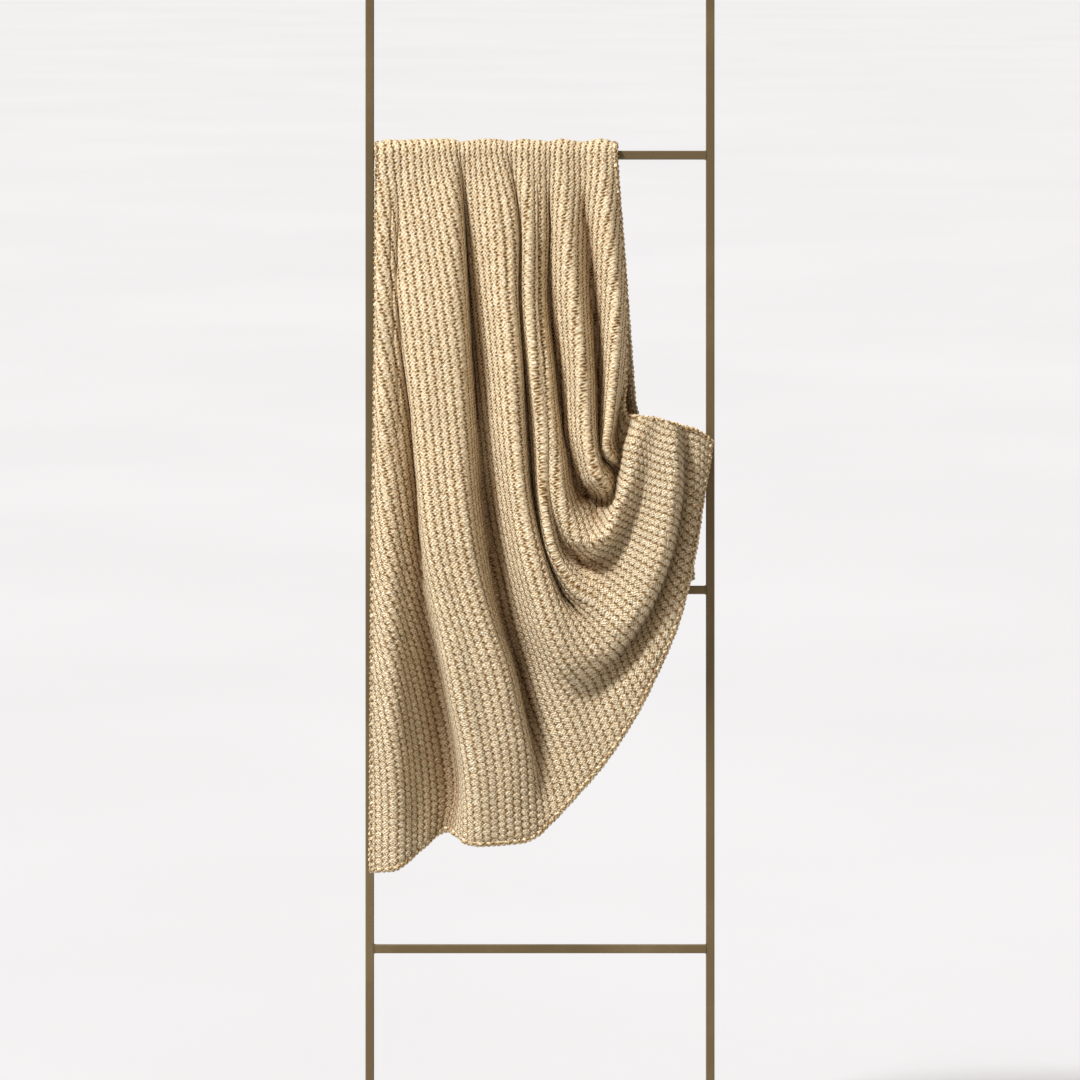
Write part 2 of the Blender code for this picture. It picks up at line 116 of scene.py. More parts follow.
# %% Fold lines
FOLD_LINES = {
    "left_selvedge": [
        (0, -230, 1504, 15), (2, -230, 1328, 20), (4, -232, 1116, 19), (6, -235, 933, 18),
        (8, -236, 778, 19), (10, -237, 623, 21), (12, -238, 496, 22),
    ],
    "left_crest": [
        (0, -223, 1504, 17), (2, -223, 1328, 34), (4, -219, 1116, 38), (6, -213, 933, 42),
        (8, -210, 778, 44), (10, -206, 623, 42), (12, -202, 500, 38),
    ],
    "left_slope": [
        (0, -210, 1504, 18), (2, -210, 1328, 33), (4, -199, 1116, 31), (6, -190, 933, 30),
        (8, -182, 778, 22), (10, -172, 623, 14), (12, -171, 524, 20),
    ],
    "left_valley": [
        (0, -195, 1504, 17), (2, -199, 1314, 28), (4, -179, 1116, 17), (6, -166, 940, 15),
        (6.8, -161, 882, 15), (8, -144, 799, -1), (9, -131, 729, -8), (10, -120, 651, -9),
        (11, -118, 602, -6), (12, -131, 552, 0),
    ],
    "broad_left": [
        (0, -183, 1504, 18), (2, -188, 1314, 41), (4, -169, 1116, 54), (6, -154, 940, 66),
        (8, -130, 799, 72), (9, -117, 729, 74), (10, -103, 651, 73), (11, -99, 595, 68),
        (12, -99, 537, 61),
    ],
    "broad_crest": [
        (0, -157, 1504, 19), (2, -151, 1314, 50), (4, -138, 1116, 65), (6, -121, 919, 77),
        (8, -90, 764, 82), (10, -61, 637, 80), (12, -56, 537, 68),
    ],
    "broad_right": [
        (0, -125, 1504, 19), (1, -118, 1406, 41), (2, -113, 1300, 50), (4, -106, 1116, 63),
        (5, -102, 1018, 70), (6, -92, 933, 74), (7, -75, 856, 77), (8, -51, 785, 78),
        (9, -35, 722, 76), (10, -20, 651, 70), (12, -14, 543, 63),
    ],
    "deep_valley": [
        (0, -113, 1504, 15), (1, -106, 1398, 3), (2, -100, 1293, -4), (3, -94, 1201, -2),
        (4, -87, 1102, 17), (4.4, -85, 1069, 16), (5, -80, 1018, 8), (6, -70, 933, 17),
        (7, -58, 860, 18), (8, -35, 785, 4), (9, -21, 722, 13), (10, -6, 658, 38), (11, 7, 609, 51),
        (12, 16, 567, 56),
    ],
    "deep_slope": [
        (0, -97, 1504, 17), (1, -89, 1398, 24), (2, -83, 1293, 20), (3, -78, 1201, 16),
        (4, -72, 1102, 23), (5, -65, 1018, 17), (6, -52, 933, 19), (7, -37, 860, 21),
        (8, -13, 792, 23), (9, 8, 729, 34), (10, 28, 672, 45), (12, 49, 602, 54),
    ],
    "second_crest": [
        (0, -76, 1504, 19), (1, -62, 1398, 42), (2, -54, 1300, 52), (3, -48, 1201, 58),
        (4, -42, 1102, 64), (5, -32, 1004, 70), (6, -17, 919, 76), (7, 4, 846, 77), (8, 25, 795, 71),
        (9, 42, 763, 61), (10, 56, 736, 51), (12, 85, 643, 52),
    ],
    "second_right": [
        (0, -56, 1504, 18), (1, -38, 1406, 38), (2, -37, 1300, 48), (3, -31, 1201, 55),
        (4, -28, 1109, 61), (5, -21, 1025, 67), (6, -4, 950, 72), (7, 21, 878, 75), (8, 51, 823, 73),
        (9, 75, 792, 67), (10, 86, 777, 43), (11, 97, 729, 52), (12, 110, 678, 52),
    ],
    "narrow_valley": [
        (0, -42, 1504, 15.5), (1, -30, 1406, 8), (2, -30, 1300, 12), (3, -23, 1201, 7),
        (4, -17, 1111, 15), (4.4, -14, 1077, 16), (5, -10, 1029, 14), (6, 4, 954, 20),
        (7, 28, 891, 30), (7.5, 47, 867, 44), (8, 66, 849, 60), (9, 97, 811, 70), (10, 109, 798, 38),
        (11, 124, 765, 54), (12, 141, 729, 54),
    ],
    "third_crest": [
        (0, -24, 1504, 19), (1, -18, 1398, 38), (2, -18, 1300, 46), (3, -10, 1201, 53),
        (4, 0, 1109, 57), (5, 4, 1018, 62), (6, 18, 944, 69), (7, 48, 897, 73), (8, 80, 871, 70),
        (9, 117, 834, 73), (10, 130, 822, 33), (11, 144, 795, 55), (12, 161, 770, 54),
    ],
    "inner_step": [
        (0, -10, 1504, 17), (1, -8, 1398, 33), (2, -8, 1300, 42), (3, 0, 1201, 50), (4, 10, 1109, 57),
        (5, 13, 1022, 54), (6, 30, 959, 37), (7, 55, 929, 30), (8, 80, 918, 43), (9, 138, 870, 73),
        (10, 152, 857, 31), (11, 165, 832, 52), (12, 179, 809, 52),
    ],
    "third_inner": [
        (0, 0, 1504, 17), (1, 1, 1398, 27), (2, 1, 1300, 33), (3, 11, 1201, 42), (4, 21, 1109, 50),
        (5, 30, 1032, 61), (6, 45, 980, 65), (7, 69, 952, 66), (8, 97, 939, 44), (9, 155, 905, 73),
        (10, 169, 894, 29), (11, 180, 873, 47), (12, 195, 851, 48),
    ],
    "dark_valley": [
        (0, 13, 1504, 15), (1, 14, 1398, 17), (2, 13, 1300, 8), (3, 24, 1201, 2), (4, 34, 1111, 15),
        (4.4, 42, 1076, 14), (5, 51, 1040, 2), (6, 75, 1014, 4), (6.5, 82, 992, 24), (7, 92, 971, 64),
        (8, 118, 966, 46), (9, 171, 944, 73), (10, 183, 937, 28), (11, 195, 916, 42),
        (12, 209, 905, 42),
    ],
    "fourth_crest": [
        (0, 31, 1504, 19), (1, 38, 1398, 39), (2, 48, 1300, 50), (3, 59, 1201, 59), (4, 66, 1109, 63),
        (5, 79, 1054, 66), (5.5, 90, 1039, 56), (6, 102, 1021, 16), (7, 111, 1014, 64),
        (8, 135, 1002, 50), (9, 180, 990, 73), (10, 193, 984, 28), (11, 209, 968, 36),
        (12, 220, 959, 36),
    ],
    "fifth_valley": [
        (0, 58, 1504, 15), (1, 66, 1398, 18), (2, 75, 1300, 8), (3, 82, 1201, 6), (4, 83, 1124, 14),
        (5, 85, 1083, 15), (5.5, 96, 1069, 15), (6, 110, 1056, 15), (7, 121, 1043, 63),
        (8, 147, 1036, 53), (9, 186, 1033, 72), (10, 199, 1029, 28), (11, 214, 1021, 33),
        (12, 227, 1008, 30),
    ],
    "fifth_crest": [
        (0, 85, 1504, 19), (1, 94, 1398, 37), (2, 104, 1300, 46), (3, 103, 1201, 51),
        (4, 97, 1124, 50), (5, 93, 1094, 47), (5.5, 100, 1080, 42), (6, 113, 1074, 19),
        (7, 127, 1076, 60), (8, 154, 1073, 54), (9, 188, 1069, 71), (10, 200, 1066, 28),
        (11, 217, 1060, 32), (12, 233, 1046, 22),
    ],
    "tube_side": [
        (0, 97, 1504, 17), (1, 106, 1398, 27), (2, 114, 1300, 30), (3, 113, 1201, 28),
        (4, 107, 1140, 16), (5, 106, 1114, 13), (5.5, 109, 1095, 14), (6, 116, 1090, 18),
        (7, 131, 1101, 56), (8, 157, 1102, 52), (9, 186, 1100, 66), (10, 199, 1097, 31),
        (11, 220, 1090, 28), (12, 238, 1074, 18),
    ],
    "right_selvedge": [
        (0, 107, 1504, 15), (1, 113, 1398, 17), (2, 120, 1300, 17), (3, 121, 1201, 15),
        (4, 118, 1156, 15), (5, 121, 1139, 18), (6, 131, 1135, 32), (7, 144, 1133, 46),
        (8, 164, 1131, 50), (9, 182, 1125, 52), (10, 199, 1121, 34), (11, 221, 1115, 25),
        (12, 241, 1101, 16),
    ],
}

# Where each line stands across the knit, in millimetres from the left selvedge
LINE_ACROSS = (
    0, 24, 70, 140, 172, 214, 260, 318, 362, 418, 466,
    524, 570, 612, 654, 700, 766, 818, 862, 896, 930,
)
print(len(FOLD_LINES), "fold lines over", LINE_ACROSS[-1], "mm of knit")

# %% [markdown]
# ## From lines to a sheet
# The lines are only 21, and a stitch is about 12 mm wide, so the sheet needs many more points
# than the lines hold.  One smooth curve rule is used twice: first along each line, then
# across all the lines, row by row.  The slope at each given point comes from its neighbours,
# which keeps the curve from swinging wide.

# %% The smooth curve rule
def smooth_curve(knots, values, at):
    """Curve through values at knots, read at many places at once."""
    knots, values = np.asarray(knots, float), np.asarray(values, float)
    at = np.clip(np.asarray(at, float), knots[0], knots[-1])
    last = len(knots) - 1
    before, after = np.maximum(np.arange(last + 1) - 1, 0), np.minimum(np.arange(last + 1) + 1, last)
    shape = (-1,) + (1,) * (values.ndim - 1)
    slope = (values[after] - values[before]) / (knots[after] - knots[before]).reshape(shape)
    left = np.minimum(np.searchsorted(knots, at, "right"), last) - 1
    span = (knots[left + 1] - knots[left]).reshape(shape)
    t = (at - knots[left]).reshape(shape) / span
    return (values[left] * (1 + 2 * t) * (1 - t) ** 2 + values[left + 1] * t * t * (3 - 2 * t)
            + slope[left] * span * t * (1 - t) ** 2 - slope[left + 1] * span * t * t * (1 - t))

def smooth_step(t):
    t = np.clip(t, 0.0, 1.0)
    return t * t * (3 - 2 * t)

# %% [markdown]
# ## Three stretches of one sheet
# The sheet has a back fall, a turn over the top rung and a front fall.  The front follows the
# fold lines.  The turn is a half circle about the rung.  The back fall hangs straight down
# under its own weight while the ladder leans, and it swings a little to the right, so its
# corner shows past the front.

# %% Points of one fold line
CLOTH_THICKNESS = 0.008
BACK_DROP, BACK_DROP_SWELL, BACK_DROP_UNEVEN = 0.610, 0.045, 0.008
BACK_LEAN_OUT, BACK_CORNER_SWING = 0.075, 0.066
BACK_FOLD_DEPTH, BACK_FOLD_RAMP = 0.020, 0.160
LAST_STATION = 12
BACK_ROWS, TURN_ROWS, FRONT_ROWS = 240, 24, 600
COLUMNS = 400
HANGING_DOWN = np.array([0.0, -cos(LEAN), -sin(LEAN)])

def front_stretch(line):
    table = np.array(line, float)
    stations = np.linspace(0, LAST_STATION, FRONT_ROWS + 1)
    return smooth_curve(table[:, 0], table[:, 1:] * MM, stations)

def turn_stretch(line):
    x, radius = line[0][1] * MM, line[0][3] * MM
    angle = np.linspace(pi, 0, TURN_ROWS, endpoint=False)
    height = TOP_RUNG_HEIGHT + radius * np.sin(angle)
    return np.stack([np.full_like(angle, x), height, radius * np.cos(angle)], -1)

def back_stretch(line, number):
    across = LINE_ACROSS[number] / LINE_ACROSS[-1]
    length = BACK_DROP + BACK_DROP_SWELL * sin(pi * across) + BACK_DROP_UNEVEN * sin(23 * across)
    drop = np.linspace(length, 0, BACK_ROWS, endpoint=False)
    swing = BACK_LEAN_OUT * drop + BACK_CORNER_SWING * smooth_step((drop - 0.34) / 0.22)
    bulge = BACK_FOLD_DEPTH * smooth_step(drop / BACK_FOLD_RAMP) * (number % 2)
    start = np.stack([line[0][1] * MM + swing * across**1.5, np.full_like(drop, TOP_RUNG_HEIGHT),
                      -line[0][3] * MM - bulge], -1)
    return start + drop[:, None] * HANGING_DOWN

# %% The whole sheet's middle surface
def middle_surface():
    """Grid of world points: columns from the left selvedge, rows from the back hem."""
    lines = [np.concatenate([back_stretch(line, i), turn_stretch(line), front_stretch(line)])
             for i, line in enumerate(FOLD_LINES.values())]
    return lean_back(smooth_curve(LINE_ACROSS, np.array(lines), place_across))

place_across = np.linspace(0, LINE_ACROSS[-1], COLUMNS + 1)
sheet = middle_surface()
TOP_ROW = BACK_ROWS + TURN_ROWS
print("sheet grid", sheet.shape[:2], "front starts at row", TOP_ROW)

# %% [markdown]
# ## Which way is out
# Each point needs a direction that faces away from the cloth, to give it thickness and to
# raise the stitches.  It comes from the two directions along the grid.

# %% Facing directions and lengths along the cloth
def unit(vectors):
    return vectors / np.maximum(np.linalg.norm(vectors, axis=-1, keepdims=True), 1e-9)

def facing(grid):
    return unit(np.cross(np.gradient(grid, axis=1), np.gradient(grid, axis=0)))

def facing_of(sheet_grid):
    """Facing directions, smoothed a little so that thickness stays even in tight folds."""
    normal = facing(sheet_grid)
    for _ in range(2):
        padded = np.pad(normal, ((1, 1), (1, 1), (0, 0)), "edge")
        beside = padded[:-2, 1:-1] + padded[2:, 1:-1] + padded[1:-1, :-2] + padded[1:-1, 2:]
        normal = unit(beside + 2 * normal)
    return normal

out_of_cloth = facing_of(sheet)
down = np.diff(sheet, axis=1)
down_steps = np.linalg.norm(down, axis=-1)
wale_direction = unit(np.gradient(sheet, axis=1))
side = np.diff(sheet, axis=0)
side_along = (side * (wale_direction[1:] + wale_direction[:-1]) / 2).sum(-1)
side_steps = np.sqrt(np.maximum((side**2).sum(-1) - side_along**2, 1e-12))
area = float((side_steps[:, 1:] * (down_steps[1:] + down_steps[:-1]) / 2).sum())
print(f"middle surface {area:.3f} m2, left selvedge {down_steps[0].sum():.3f} m,",
      f"middle {down_steps[COLUMNS // 2].sum():.3f} m, right {down_steps[-1].sum():.3f} m")

# %% [markdown]
# ## Counting stitches
# The knit is a bobble stitch: small raised knots in columns, called wales, with each wale
# half a knot out of step with the next.  Over the rung the weight of the cloth pulls the
# knots long and close together, and near the hem they relax and spread.
# A printed pattern would be flat.  Instead every point of the sheet gets its own stitch
# address: which wale it is in, and how many knots down.  Both the raised mesh and the yarn
# material read that address, so shape and colour always agree.

# %% Stitch sizes down the cloth
STITCH_SIZES = [
    # station, wale width, knot length and relief in millimetres, gap between knots
    (0, 11.4, 15.4, 1.9, 0.05), (1, 11.4, 15.4, 1.2, 0.05), (3, 11.4, 14.4, 1.2, 0.08),
    (5, 11.8, 12.4, 1.2, 0.15), (7, 12.0, 11.0, 1.3, 0.25), (12, 12.0, 10.4, 1.4, 0.30),
]

def row_stations():
    """Station of each row; the back fall counts down from the rung in the same way."""
    middle_steps = down_steps[COLUMNS // 2]
    above = np.cumsum(middle_steps[TOP_ROW - 1::-1])[::-1]
    return np.concatenate([above / 0.084, np.linspace(0, LAST_STATION, FRONT_ROWS + 1)])

station = row_stations()
stitch_sizes = np.array(STITCH_SIZES)
wale_width, knot_length, knot_relief = smooth_curve(stitch_sizes[:, 0], stitch_sizes[:, 1:4] * MM, station).T
knot_gap = smooth_curve(stitch_sizes[:, 0], stitch_sizes[:, 4], station)
print("wale width", round(wale_width.min() * 1000, 1), "to", round(wale_width.max() * 1000, 1), "mm")

# %% [markdown]
# ## Letting the stitches share the strain
# In flat cloth, one wale sideways is always the same width and one knot down the same length.
# On this drawn surface both wishes can't hold everywhere, just as real knit stretches here
# and bunches there.  So the addresses are the best compromise: the small errors of all the
# steps between neighbours are squared, weighted and made as small as possible together.
# Points deep in a valley count for little, so most of the bunching hides in the shade.

# %% What stands out and what lies deep
CREST_REACH = 18

def standing_out(reach):
    """How far each point stands out from the mean of its surroundings, in metres."""
    out = sheet @ np.array([0.0, -cos(LEAN), sin(LEAN)])
    out[:, :TOP_ROW] *= -1
    mean = out.copy()
    for axis in (0, 1):
        padded = np.concatenate([np.repeat(np.take(mean, [0], axis), reach, axis), mean,
                                 np.repeat(np.take(mean, [-1], axis), reach, axis)], axis)
        total = np.cumsum(np.concatenate([np.zeros_like(np.take(padded, [0], axis)), padded], axis), axis)
        size, window = mean.shape[axis], 2 * reach + 1
        last = np.take(total, range(window, window + size), axis)
        mean = (last - np.take(total, range(size), axis)) / window
    return out - mean

crest_weight = 0.2 + 0.8 * smooth_step((standing_out(CREST_REACH) + 0.007) / 0.012)
print("mean weight of a point", round(float(crest_weight.mean()), 3))

# %% Share the strain over a coarse grid
COARSE = 4

def summed(steps, axis, pick):
    total = np.concatenate([np.zeros_like(np.take(steps, [0], axis)), np.cumsum(steps, axis)], axis)
    return np.diff(np.take(total, pick, axis), axis=axis)

def relax(address, rest, scale, pull, rounds):
    """Conjugate gradients: move the address until what is left of the strain, rest, is nothing."""
    eased = rest / scale
    way, strength = eased.copy(), (rest * eased).sum()
    for _ in range(rounds):
        pulled = pull(way)
        step = strength / (way * pulled).sum()
        address += step * way
        rest -= step * pulled
        eased = rest / scale
        fresh = (rest * eased).sum()
        way = eased + way * fresh / strength
        strength = fresh
        if strength < 1e-9:
            break
    return address

def share_strain(side_target, down_target, first_guess, side_hold, down_hold, rounds=900):
    """Address whose steps come as near as they can to both targets."""
    columns = np.append(np.arange(0, sheet.shape[0] - 1, COARSE), sheet.shape[0] - 1)
    rows = np.append(np.arange(0, sheet.shape[1] - 1, COARSE), sheet.shape[1] - 1)
    weight = crest_weight[np.ix_(columns, rows)]
    width = summed(side_steps, 0, columns)[:, rows]
    height = summed(down_steps, 1, rows)[columns]
    cell_width = np.pad(width, ((0, 1), (0, 0)), "edge")
    cell_height = np.pad(height, ((0, 0), (0, 1)), "edge")
    side_weight = side_hold * (weight[1:] + weight[:-1]) / 2 * cell_height[:-1] / width
    down_weight = (weight[:, 1:] + weight[:, :-1]) / 2 * cell_width[:, :-1] / height
    down_weight *= down_hold[rows[:-1]]
    side_goal = summed(side_target, 0, columns)[:, rows]
    down_goal = summed(down_target, 1, rows)[columns]

    def spread(side_part, down_part):
        total = np.zeros((len(columns), len(rows)))
        total[1:] += side_part
        total[:-1] -= side_part
        total[:, 1:] += down_part
        total[:, :-1] -= down_part
        return total

    def pull(address):
        return spread(side_weight * np.diff(address, axis=0), down_weight * np.diff(address, axis=1))

    scale = np.zeros_like(weight)
    scale[1:] += side_weight
    scale[:-1] += side_weight
    scale[:, 1:] += down_weight
    scale[:, :-1] += down_weight
    address = first_guess[np.ix_(columns, rows)].copy()
    rest = spread(side_weight * side_goal, down_weight * down_goal) - pull(address)
    address = relax(address, rest, scale, pull, rounds)
    finer = smooth_curve(rows, address.T, np.arange(sheet.shape[1])).T
    return smooth_curve(columns, finer, np.arange(sheet.shape[0]))

# %% Wale and knot numbers
def finer_below():
    """How much finer the knots are where nothing pulls: below the folds, most on the flap."""
    on_flap = smooth_step((place_across[:, None] - 580) / 160)
    return 1 + (0.12 + 0.13 * on_flap) * smooth_step((station - 4.5) / 3.0)

def stitch_addresses():
    side_share = np.cumsum(np.pad(side_steps, ((1, 0), (0, 0))), 0) / wale_width
    no_drift = np.zeros_like(down_steps)
    keep_straight = 2.2 - 1.7 * smooth_step((station - 4.5) / 2.0)
    finer = finer_below()
    wale = share_strain(side_steps / wale_width * finer[1:], no_drift, side_share, 1.0, keep_straight)
    per_step = 2 / (knot_length[1:] + knot_length[:-1]) * finer[:, 1:]
    down_share = np.cumsum(np.pad(down_steps * per_step, ((0, 0), (1, 0))), 1)
    even = np.ones_like(station)
    knot = share_strain(side_along / knot_length, down_steps * per_step, down_share, 0.5, even)
    return wale, knot

wale, knot = stitch_addresses()
actual_width = side_steps / np.abs(np.diff(wale, axis=0)) * 1000
actual_length = down_steps / np.abs(np.diff(knot, axis=1)) * 1000
print("middle half of wale widths:", np.percentile(actual_width[:, TOP_ROW:], (25, 75)).round(1), "mm")
print("middle half of knot lengths:", np.percentile(actual_length[:, TOP_ROW:], (25, 75)).round(1), "mm")

# %% [markdown]
# ## Raising the knots
# Each wale is a rounded rib that swells at every knot.  Because neighbouring wales are half a
# knot out of step, the groove between them winds from side to side.  So a point first finds
# the nearest knot in the wale on its left and in the wale on its right.  Where the two are
# equally far, it lies in the groove.  Where the cloth is stretched the rib runs on smoothly,
# and where it is relaxed a dip parts each knot from the next.

# %% Height of the stitches
# How much more a step across a wale counts than one down it, when a point finds its knot
SIDEWAYS_WEIGHT = 1.15

def rib_and_knots(wale, knot, knot_gap):
    """Height from 0 in the grooves to 1 on the knots."""
    squared, along = [], []
    for side_wale in (0, 1):
        number = np.floor(wale) + side_wale
        half = 0.5 * (number % 2)
        along.append(knot - half - np.round(knot - half))
        squared.append(SIDEWAYS_WEIGHT * (wale - number) ** 2 + along[-1] ** 2)
    from_groove = np.clip(np.abs(squared[0] - squared[1]) / 1.05, 0, 1)
    own_along = np.where(squared[0] < squared[1], along[0], along[1])
    rib = 1 - (1 - from_groove) ** 2.2
    return rib * (1 - knot_gap * np.abs(2 * own_along) ** 3)

def edge_distance():
    columns, rows = sheet.shape[:2]
    from_left = np.concatenate([np.zeros((1, rows)), np.cumsum(side_steps, 0)])
    from_top = np.concatenate([np.zeros((columns, 1)), np.cumsum(down_steps, 1)], 1)
    return np.minimum.reduce([from_left, from_left[-1:] - from_left, from_top, from_top[:, -1:] - from_top])

# %% [markdown]
# ## Creases and painted fold shade
# In a few places two folds press together and leave a crack, narrower than the solid's own
# valley.  There the face of the knit is pressed in along a line of the knit.
# Deep folds also get painted shade: their colour is darkened and browned on top of their real
# shadow.  So each point carries a number of painted shade, from 0 on a crest to 1 in a crack.

# %% Creases between folds
CREASES = [
    # place across the knit in mm, first and last station, depth and half width in mm
    (318, 0.1, 8.6, 6.5, 8), (524, 0.1, 8.2, 6.5, 7), (140, 0.8, 7.5, 4.0, 7), (700, 0.3, 6.4, 5.5, 8),
    (818, 0.3, 6.2, 5.5, 8), (634, 0.2, 3.6, 3.5, 6), (72, 0.5, 4.5, 2.5, 6), (440, 0.2, 2.6, 2.5, 6),
]

def press_creases():
    """Depth of the creases in metres, over the whole grid."""
    place = place_across[:, None]
    depth = np.zeros(sheet.shape[:2])
    for across, first, last, deep, half in CREASES:
        along = smooth_step((station - first) / 0.5) * smooth_step((last - station) / 1.2)
        along = along * (np.arange(len(station)) > TOP_ROW)
        waver = 2.5 * np.sin(station * 5.1 + across) + 1.5 * np.sin(station * 11.7 + across)
        depth = np.maximum(depth, deep * MM * along * np.exp(-((place - across - waver) / half) ** 2))
    return depth

# Reach of the painted fold shade, in grid steps
FOLD_SHADE_REACH = 26
crease = press_creases()
# Painted shade: 0 on a crest, 1 deep between folds and in the creases; it darkens the yarn colour
painted_fold_shade = smooth_step((0.004 - standing_out(FOLD_SHADE_REACH)) / 0.024)
painted_fold_shade = np.clip(painted_fold_shade + crease / 0.008, 0, 1)
painted_fold_shade *= smooth_step((station - 0.15) / 0.9)
painted_fold_shade[:, :TOP_ROW] *= 0.4
print("creases cover", round(float((crease > 0.002).mean()) * 100, 1), "% of the cloth,",
      "mean shelter", round(float(painted_fold_shade.mean()), 3))

# %% Thickness, edges and stitches
EDGE_ROLL = 0.007
edge_fade = smooth_step(edge_distance() / (1.6 * EDGE_ROLL))
dome = rib_and_knots(wale, knot, knot_gap)
relief = (dome - 0.5) * knot_relief * edge_fade
half_thickness = CLOTH_THICKNESS / 2 * (0.55 + 0.45 * edge_fade)
face_side = sheet + out_of_cloth * (half_thickness + relief - crease)[..., None]
wrong_side = sheet - out_of_cloth * (half_thickness + 0.5 * relief)[..., None]
print("stitch relief", round(float(relief.min()) * 1000, 2), "to", round(float(relief.max()) * 1000, 2), "mm")

# %% [markdown]
# ## Making meshes from grids
# The face of the cloth needs over a quarter of a million points.  It is made in bands that
# share their border points and directions, so no join shows and each band stays light.

# %% Grid to mesh
def add_piece(name, points, faces, material):
    mesh = bpy.data.meshes.new(name)
    mesh.from_pydata(points.reshape(-1, 3).tolist(), [], faces.tolist())
    mesh.shade_smooth()
    piece = bpy.data.objects.new(name, mesh)
    bpy.context.scene.collection.objects.link(piece)
    mesh.materials.append(material)
    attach(piece, "root")
    return piece

def grid_faces(columns, rows, flip=False):
    corner = (np.arange(columns - 1)[:, None] * rows + np.arange(rows - 1)).ravel()
    faces = np.stack([corner, corner + 1, corner + rows + 1, corner + rows], 1)
    return faces[:, ::-1] if flip else faces

def add_map(mesh, name, across, along):
    layer = mesh.uv_layers.new(name=name)
    at = np.empty(len(mesh.loops), int)
    mesh.loops.foreach_get("vertex_index", at)
    pairs = np.stack([across.ravel()[at], along.ravel()[at]], 1)
    layer.uv.foreach_set("vector", pairs.astype(np.float32).ravel())

def add_band(name, grid, first, last, material, flip=False, step=1):
    """One band of a grid, with its stitch addresses and the directions of the whole grid."""
    rows = np.unique(np.append(np.arange(first, last + 1, step), last))
    columns = np.unique(np.append(np.arange(0, grid.shape[0], step), grid.shape[0] - 1))
    pick = np.ix_(columns, rows)
    points = grid[pick]
    piece = add_piece(name, points, grid_faces(len(columns), len(rows), flip), material)
    add_map(piece.data, "stitches", wale[pick], knot[pick])
    width, length = np.meshgrid(columns / COLUMNS, station[rows] / LAST_STATION, indexing="ij")
    add_map(piece.data, "sheet", width, length)
    # Painted fold shade, kept on each point for the yarn material
    painted_shade_layer = piece.data.attributes.new("painted_fold_shade", "FLOAT", "POINT")
    painted_shade_layer.data.foreach_set("value", painted_fold_shade[pick].astype(np.float32).ravel())
    normals = facing(grid)[pick] * (-1 if flip else 1)
    piece.data.normals_split_custom_set_from_vertices(normals.reshape(-1, 3).tolist())
    return piece

# %% [markdown]
# ## Small helpers for materials
# Shader nodes are wired by hand in the editor.  In a script, a few short helpers say the same
# thing: make a node, set its values, and join it to what feeds it.

# %% Node helpers
def add_node(tree, kind, label=None, **values):
    node = tree.nodes.new(kind)
    if label:
        node.label = label
    for name, value in values.items():
        setattr(node, name, value)
    return node

def feed(tree, socket, source):
    if isinstance(source, bpy.types.NodeSocket):
        tree.links.new(source, socket)
    else:
        socket.default_value = source

def calculate(tree, operation, *sources, label=None):
    node = add_node(tree, "ShaderNodeMath", label, operation=operation)
    for socket, source in zip(node.inputs, sources):
        feed(tree, socket, source)
    return node.outputs[0]

def blend_colours(tree, amount, first, second, label=None, way="MIX"):
    node = add_node(tree, "ShaderNodeMix", label, data_type="RGBA", blend_type=way)
    for index, source in ((0, amount), (6, first), (7, second)):
        feed(tree, node.inputs[index], source)
    return node.outputs[2]

def ramp_between(tree, value, low, high, label=None):
    node = add_node(tree, "ShaderNodeMapRange", label, interpolation_type="SMOOTHSTEP")
    feed(tree, node.inputs["Value"], value)
    node.inputs["From Min"].default_value, node.inputs["From Max"].default_value = low, high
    return node.outputs["Result"]

def new_group(name, takes, gives):
    """Empty node group with named sockets; takes and gives are (name, kind, value) rows."""
    tree = bpy.data.node_groups.new(name, "ShaderNodeTree")
    for rows, way in ((takes, "INPUT"), (gives, "OUTPUT")):
        for title, kind, *value in rows:
            socket = tree.interface.new_socket(title, in_out=way, socket_type=kind)
            if value:
                socket.default_value = value[0]
    start, end = add_node(tree, "NodeGroupInput"), add_node(tree, "NodeGroupOutput")
    return tree, start.outputs, end.inputs

def use_group(tree, group, **values):
    node = add_node(tree, "ShaderNodeGroup", node_tree=group)
    for name, value in values.items():
        feed(tree, node.inputs[name.replace("_", " ")], value)
    return node

# %% [markdown]
# ## Shared effect: uneven colour
# Dyed yarn, sprayed paint and a plain floor are never one flat colour.  One group gives a slow
# drift and a fine speckle, and each material sets its own sizes and strength.

# %% Uneven colour group
def make_uneven_group():
    tree, takes, gives = new_group(
        "uneven colour",
        [("Vector", "NodeSocketVector"), ("Patch Size", "NodeSocketFloat", 0.1),
         ("Speck Size", "NodeSocketFloat", 0.002), ("Speck Share", "NodeSocketFloat", 0.5)],
        [("Tone", "NodeSocketFloat"), ("Speck", "NodeSocketFloat")])
    noises = []
    for title in ("Patch Size", "Speck Size"):
        scale = calculate(tree, "DIVIDE", 1.0, takes[title])
        noise = add_node(tree, "ShaderNodeTexNoise", title.lower())
        feed(tree, noise.inputs["Vector"], takes["Vector"])
        feed(tree, noise.inputs["Scale"], scale)
        noise.inputs["Detail"].default_value = 3.0
        noises.append(ramp_between(tree, noise.outputs["Fac"], 0.3, 0.7))
    slow = calculate(tree, "MULTIPLY", noises[0], calculate(tree, "SUBTRACT", 1.0, takes["Speck Share"]))
    fast = calculate(tree, "MULTIPLY", noises[1], takes["Speck Share"])
    feed(tree, gives["Tone"], calculate(tree, "ADD", slow, fast))
    feed(tree, gives["Speck"], noises[1])
    return tree

uneven_colour = make_uneven_group()
print("made group", uneven_colour.name)
